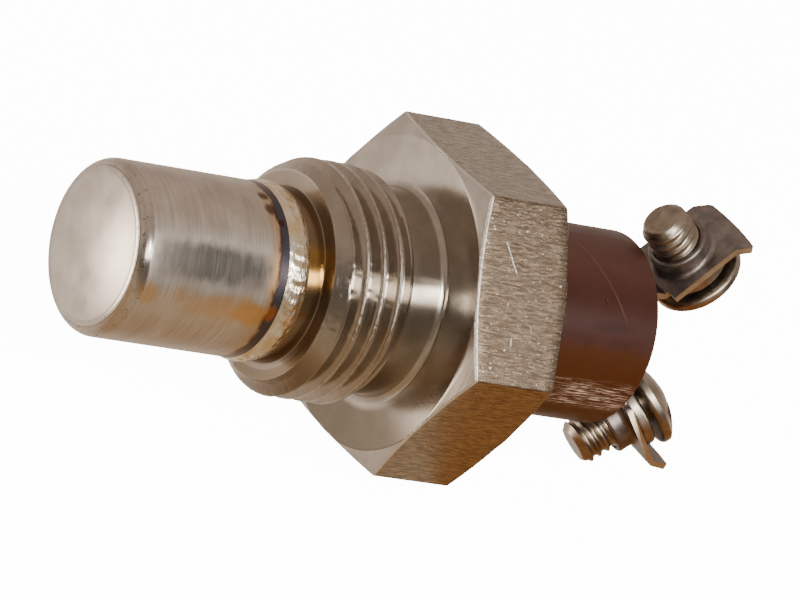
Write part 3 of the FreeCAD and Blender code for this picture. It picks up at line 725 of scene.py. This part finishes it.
def screwAxis(side):  # hole and direction towards the tip, from the record's joint
    joint = next(j for j in frame["joints"] if j["name"] == side + "_screw_turn")
    return Vector(joint["pos_m"]), -Vector(joint["axis"])


terminalSettings = {
    "collarReach": 3.1, "earShare": 0.93,  # the hole's collar, and where the ear's end begins
    "colors": {"platedDark": (116, 108, 105), "platedLight": (152, 144, 140), "cut": (206, 190, 160)}}


def terminalMaterial():
    c = paints(terminalSettings)
    m = Surface("plated terminal")
    cloud = m.noise(m.stretched(0.6, 0.6, 0.6), 4.0, 0.6)
    fine = m.noise(m.stretched(7.0, 7.0, 7.0), 4.0, 0.6)
    color = m.mix(m.ramp(cloud, 0.3, 0.7), c["platedDark"], c["platedLight"])
    color = m.mix(m.times(m.mark("cutEdge"), 0.9), color, c["cut"])
    return m.finish(color, m.ramp(cloud, 0.3, 0.7, 0.36, 0.48), normal=m.bump(fine, 0.006))


def markCutEdges(made, side):  # 1 on the sheet's cut sides and end, 0 on its faces
    s = terminalSettings
    hole, tipward = screwAxis(side)
    mesh = made.data
    far = max((v.co - hole).length for v in mesh.vertices)
    marks = []
    for face in mesh.polygons:
        across = face.center - hole
        fromAxis = (across - tipward * across.dot(tipward)).length
        cutSide = abs(face.normal.y) > 0.3 and fromAxis > s["collarReach"] * mm
        cutEnd = across.length > far * s["earShare"] and abs(face.normal.dot(tipward)) < 0.75
        marks.append(1.0 if cutSide or cutEnd else 0.0)
    mesh.attributes.new("cutEdge", "FLOAT", "FACE").data.foreach_set("value", marks)


def makeTerminals():
    material = terminalMaterial()
    for side in ("upper", "lower"):
        made = copyOf(side + "_terminal", side + "_terminal_plated", sharpDeg=25.0)
        markCutEdges(made, side)
        standsFor(made, side + "_terminal", "switch")
        dress(made, material)


screwSettings = {
    "Radius": 2.08, "Pitch": 0.79375, "Thread Depth": 0.341, "Crest Flat": 0.12, "Soften": 0.3,
    "Point": 0.60, "Length": 6.40, "Plain": 0.45, "Head Radius": 3.88, "Head Height": 2.20,
    "Rim Height": 0.75, "Rim Round": 0.34, "Slot Width": 1.15, "Slot Depth": 1.05, "Around": 128,
    "Turns": 10, "Rows Per Turn": 12, "Crown Rows": 12}

# the orange colour paints a warm reflection on the lower side of each head
screwLooks = {"colors": {"dark": (146, 135, 122), "light": (182, 172, 158), "stainAndWarmReflection": (196, 138, 72)}}


def screwTree():  # X towards the tip, the head's bearing face at zero
    t = ShapeTree("terminal screw", screwSettings)
    g = t.given
    columns = t.plus(g["Around"], 1)
    length, pitch, plain = g["Length"], g["Pitch"], g["Plain"]
    root = t.less(g["Radius"], g["Thread Depth"])

    # thread, from the point back to the plain neck
    shank, along, turn = t.sheet(t.plus(t.times(g["Turns"], g["Rows Per Turn"]), 1), columns)
    lead, reach = t.times(pitch, turn), t.times(pitch, g["Turns"])
    x = t.plus(t.less(t.times(along, reach), reach), length, lead)
    x = t.math("MAXIMUM", t.math("MINIMUM", x, length), plain)
    fromCrest = t.math("PINGPONG", t.less(t.less(x, length), lead), t.times(pitch, 0.5))
    flank = t.math("MAXIMUM", t.less(fromCrest, t.times(g["Crest Flat"], 0.5)), 0.0)
    flank = t.less(g["Radius"], t.times(flank, 1 / math.tan(math.radians(30))))
    ridge = t.math("SMOOTH_MIN", flank, g["Radius"], g["Soften"])
    ridge = t.math("SMOOTH_MAX", ridge, root, g["Soften"])
    point = t.plus(t.less(g["Radius"], g["Point"]), t.less(length, x))
    runout = t.plus(root, t.times(t.less(x, plain), 1.2))
    radius = t.math("MINIMUM", t.math("SMOOTH_MIN", ridge, point, 0.15), runout)
    thread = t.turned(shank, x, radius, turn)

    # rim, its rounded edge, the bearing face and the neck, one after the other as along goes from 0 to 4
    under, along, turn = t.sheet(21, columns)
    along = t.times(along, 4.0)
    rim, rounding = g["Rim Height"], g["Rim Round"]
    bend = t.times(t.step(along, 1.0), math.pi / 2)
    x = t.plus(t.times(t.less(rim, rounding), t.step(along, 0.0)),
               t.times(rounding, t.math("SINE", bend)), t.times(plain, t.step(along, 3.0)))
    inward = t.less(t.less(g["Head Radius"], rounding), root)
    fall = t.times(rounding, t.less(1.0, t.math("COSINE", bend)))
    radius = t.less(g["Head Radius"], t.plus(fall, t.times(inward, t.step(along, 2.0))))
    seat = t.turned(under, t.less(x, rim), radius, turn)

    # crown, part of a ball
    cap, along, turn = t.sheet(g["Crown Rows"], columns)
    rise = t.less(g["Head Height"], rim)
    headSquare = t.times(g["Head Radius"], g["Head Radius"])
    ball = t.math("DIVIDE", t.plus(headSquare, t.times(rise, rise)), t.times(rise, 2.0))
    radius = t.times(g["Head Radius"], along)
    drop = t.less(ball, t.math("SQRT", t.less(t.times(ball, ball), t.times(radius, radius))))
    crown = t.turned(cap, t.less(drop, g["Head Height"]), radius, turn)

    # flat tip, then the slot cut across the crown
    outside = t.node("GeometryNodeFlipFaces", Mesh=t.together(thread, seat, crown)).outputs[0]
    disc = t.node("GeometryNodeMeshCircle", {"fill_type": "NGON"}, Vertices=g["Around"],
                  Radius=t.less(g["Radius"], g["Point"])).outputs[0]
    spot = t.node("ShaderNodeSeparateXYZ", Vector=t.node("GeometryNodeInputPosition").outputs[0]).outputs
    tip = t.node("GeometryNodeSetPosition", Geometry=disc,
                 Position=t.joined(length, t.times(spot["Y"], -1.0), spot["X"])).outputs[0]
    closed = t.node("GeometryNodeMergeByDistance", Geometry=t.together(outside, tip),
                    Distance=0.001).outputs[0]
    size = t.joined(t.times(g["Slot Depth"], 2.0), t.times(g["Head Radius"], 4.0), g["Slot Width"])
    blade = t.node("GeometryNodeMeshCube", Size=size).outputs[0]
    place = t.joined(t.times(g["Head Height"], -1.0), 0.0, 0.0)
    blade = t.node("GeometryNodeTransform", Geometry=blade, Translation=place).outputs[0]
    cut = t.node("GeometryNodeMeshBoolean", {"operation": "DIFFERENCE", "solver": "EXACT"}, Mesh_1=closed,
                 Mesh_2=blade).outputs[0]
    return t.end(cut)


def screwMaterial():
    c = paints(screwLooks)
    m = Surface("screw steel")
    cloud = m.noise(m.stretched(0.7, 0.7, 0.7), 4.0, 0.6)
    fine = m.noise(m.stretched(6.0, 6.0, 6.0), 4.0, 0.6)
    color = m.mix(m.ramp(cloud, 0.3, 0.7), c["dark"], c["light"])
    # painted warm reflection: the lower side of each head drawn orange
    color = m.mix(m.times(m.ramp(m.mark("stainAndWarmReflection"), 0.35, 0.9), 0.75), color, c["stainAndWarmReflection"])
    return m.finish(color, m.ramp(cloud, 0.3, 0.7, 0.28, 0.38), normal=m.bump(fine, 0.003))


def markWarmReflection(made, seat, tipward):  # painted warm reflection: from 0 to 1 down the head, and 0 on the thread
    marks = []
    for v in made.data.vertices:
        onHead = (v.co - seat).dot(tipward) < 0.05 * mm
        fall = (seat.z - v.co.z) / (screwSettings["Head Radius"] * mm)
        marks.append(max(0.0, fall) if onHead else 0.0)
    made.data.attributes.new("stainAndWarmReflection", "FLOAT", "POINT").data.foreach_set("value", marks)


def makeScrews():
    material, tree = screwMaterial(), screwTree()
    for side in ("upper", "lower"):
        hole, tipward = screwAxis(side)
        cad = frame["nodes"][side + "_screw"].data
        tip = max((v.co - hole).dot(tipward) for v in cad.vertices)
        seat = hole + tipward * (tip - screwSettings["Length"] * mm)
        made = grown(side + "_screw_threaded", tree, screwSettings, material, sharpDeg=28.0)
        turn = Vector((1, 0, 0)).rotation_difference(tipward).to_matrix().to_4x4()
        made.data.transform(Matrix.Translation(seat) @ turn)
        markWarmReflection(made, seat, tipward)
        standsFor(made, side + "_screw", side + "_terminal_screw")
        dress(frame["nodes"][side + "_washer"], material)


# Pieces inside

innerLooks = {
    "bimetal_disc": ((176, 150, 120), 0.3, 1.0), "disc_seat": ((170, 165, 158), 0.3, 1.0),
    "spacer_sleeve": ((170, 165, 158), 0.3, 1.0), "pin_guide": ((60, 40, 30), 0.45, 0.0),
    "transfer_pin": ((232, 228, 218), 0.35, 0.0), "header_gasket": ((38, 36, 35), 0.7, 0.0),
    "contact_arm": ((200, 160, 92), 0.3, 1.0), "moving_contact": ((215, 212, 208), 0.25, 1.0),
    "fixed_contact": ((215, 212, 208), 0.25, 1.0)}


def dressInside():
    for node, (color, roughness, metallic) in innerLooks.items():
        m = Surface(node + " finish")
        dress(frame["nodes"][node], m.finish(paint(*color), roughness, metallic=metallic))


# Stage

cameraSettings = {
    "aim": (1.96, 0.0, -0.476), "azimuthDeg": -38.41, "elevationDeg": 20.27, "rollDeg": 24.41,
    "distance": 520.8, "focal": 296.7, "sensor": 36.0}


def makeCamera():
    s = cameraSettings
    azimuth, elevation = math.radians(s["azimuthDeg"]), math.radians(s["elevationDeg"])
    back = Vector((math.sin(azimuth) * math.cos(elevation), -math.cos(azimuth) * math.cos(elevation),
                   math.sin(elevation)))
    roll = Matrix.Rotation(math.radians(s["rollDeg"]), 4, "Z")
    turn = back.to_track_quat("Z", "Y").to_matrix().to_4x4() @ roll
    data = bpy.data.cameras.new("camera")
    data.lens, data.sensor_width = s["focal"], s["sensor"]
    data.clip_start, data.clip_end = 0.05, 20.0
    camera = placed("camera", data)
    camera.matrix_world = Matrix.Translation((Vector(s["aim"]) + back * s["distance"]) * mm) @ turn
    bpy.context.scene.camera = camera


roomSettings = {
    "glow": (-0.814, 0.508, -0.275), "glowDeg": (15, 2), "strengths": (1.6, 14.0), "backdrop": 14.0,
    "stops": (  # degrees round X from straight up, and the room's colour there
        (-180, (150, 124, 96)), (-125, (205, 192, 180)), (-95, (196, 182, 170)), (-60, (150, 134, 122)),
        (-10, (160, 144, 130)), (30, (148, 134, 123)), (48, (100, 91, 84)), (75, (82, 75, 68)),
        (100, (114, 102, 89)), (122, (156, 140, 121)), (150, (150, 126, 98)), (180, (150, 124, 96)))}


def makeWorld():  # a plain backdrop, and a soft studio that only lights and reflections see
    s = roomSettings
    world = bpy.data.worlds.new("room")
    world.use_nodes = True
    world.node_tree.nodes.clear()
    bpy.context.scene.world = world
    w = NodeWriter(world.node_tree)
    towards = w.node("ShaderNodeTexCoord").outputs["Generated"]
    split = w.node("ShaderNodeSeparateXYZ", Vector=towards).outputs
    turn = w.math("ARCTAN2", w.times(split["Y"], -1.0), split["Z"])
    share = w.node("ShaderNodeMapRange", Value=turn, From_Min=-math.pi, From_Max=math.pi)
    tones = w.node("ShaderNodeValToRGB", Fac=share.outputs["Result"])
    elements = tones.color_ramp.elements
    for degrees, color in s["stops"][1:-1]:
        elements.new((degrees + 180) / 360)
    for element, (degrees, color) in zip(elements, s["stops"]):
        element.color = paint(*color)
    glow = w.vector("DOT_PRODUCT", towards, Vector(s["glow"]).normalized())["Value"]
    outer, inner = (math.cos(math.radians(a)) for a in s["glowDeg"])
    strength = w.ramp(glow, outer, inner, *s["strengths"])
    room = w.node("ShaderNodeBackground", Color=tones.outputs["Color"], Strength=strength)
    backdrop = w.node("ShaderNodeBackground", Color=(1, 1, 1, 1), Strength=s["backdrop"])
    chosen = w.node("ShaderNodeMixShader", Fac=w.node("ShaderNodeLightPath").outputs["Is Camera Ray"])
    w.put(chosen.inputs[1], room.outputs[0])
    w.put(chosen.inputs[2], backdrop.outputs[0])
    w.node("ShaderNodeOutputWorld", Surface=chosen.outputs[0])


lightSettings = {
    "strip": {"towards": (0.0, -0.884, 0.468), "through": (-21.0, -7.4, 3.8), "distance": 150,
              "size": (258, 39), "power": 0.28, "color": (1.0, 0.96, 0.90)},
    "lamp": {"towards": (-0.25, -0.80, 0.54), "through": (0.0, 0.0, 0.0), "distance": 500,
             "size": (70, 70), "power": 0.69, "color": (1.0, 0.96, 0.90)}}


def makeLights():
    for name, s in lightSettings.items():
        data = bpy.data.lights.new(name, "AREA")
        data.shape = "RECTANGLE"
        data.size, data.size_y = (v * mm for v in s["size"])
        data.energy = s["power"]
        data.color = s["color"]
        towards = Vector(s["towards"]).normalized()
        along = (Vector((1, 0, 0)) - towards * towards.x).normalized()
        turn = Matrix((along, towards.cross(along), towards)).transposed().to_4x4()
        lamp = placed(name, data)
        place = (Vector(s["through"]) + towards * s["distance"]) * mm
        lamp.matrix_world = Matrix.Translation(place) @ turn
        lamp.visible_camera = False


def levelSheet(name, low, high, height):  # a flat rectangle, its corners in millimetres
    mesh = bpy.data.meshes.new(name)
    (left, front), (right, back) = low, high
    corners = ((left, front), (right, front), (right, back), (left, back))
    mesh.from_pydata([(x * mm, y * mm, height * mm) for x, y in corners], [], [(0, 1, 2, 3)])
    return placed(name, mesh)


floorSettings = {"height": -14.8, "half": 6000, "color": (252, 251, 250), "glow": (1.0, 0.99, 0.98, 1.0),
                 "strength": 14.0}


def makeFloor():
    s = floorSettings
    floor = levelSheet("floor", (-s["half"], -s["half"]), (s["half"], s["half"]), s["height"])
    material = Surface("floor").finish(paint(*s["color"]), 0.9, metallic=0.0, Emission_Color=s["glow"],
                                       Emission_Strength=s["strength"])
    dress(floor, material)
    floor.visible_glossy = floor.visible_diffuse = floor.visible_shadow = False


cardSettings = {"low": (8.5, -60.0), "high": (90.0, 0.0), "height": -14.7,
                "glow": (0.40, 0.175, 0.055, 1.0)}


def makeWarmCard():  # seen only as a reflection, in what faces down at the rear
    s = cardSettings
    card = levelSheet("warm card", s["low"], s["high"], s["height"])
    material = Surface("warm card").finish(paint(0, 0, 0), 1.0, metallic=0.0, Emission_Color=s["glow"],
                                           Emission_Strength=1.0, Specular_IOR_Level=0.0)
    dress(card, material)
    card.visible_camera = card.visible_diffuse = card.visible_shadow = False


makeBody()
print("body made")
makeProbe()
print("probe made")
dress(frame["nodes"]["header"], headerMaterial())
print("header finished")
makeTerminals()
print("terminals made")
makeScrews()
print("screws made")
dressInside()
print("pieces inside finished")
makeCamera()
makeWorld()
makeLights()
makeFloor()
makeWarmCard()
print("stage made")
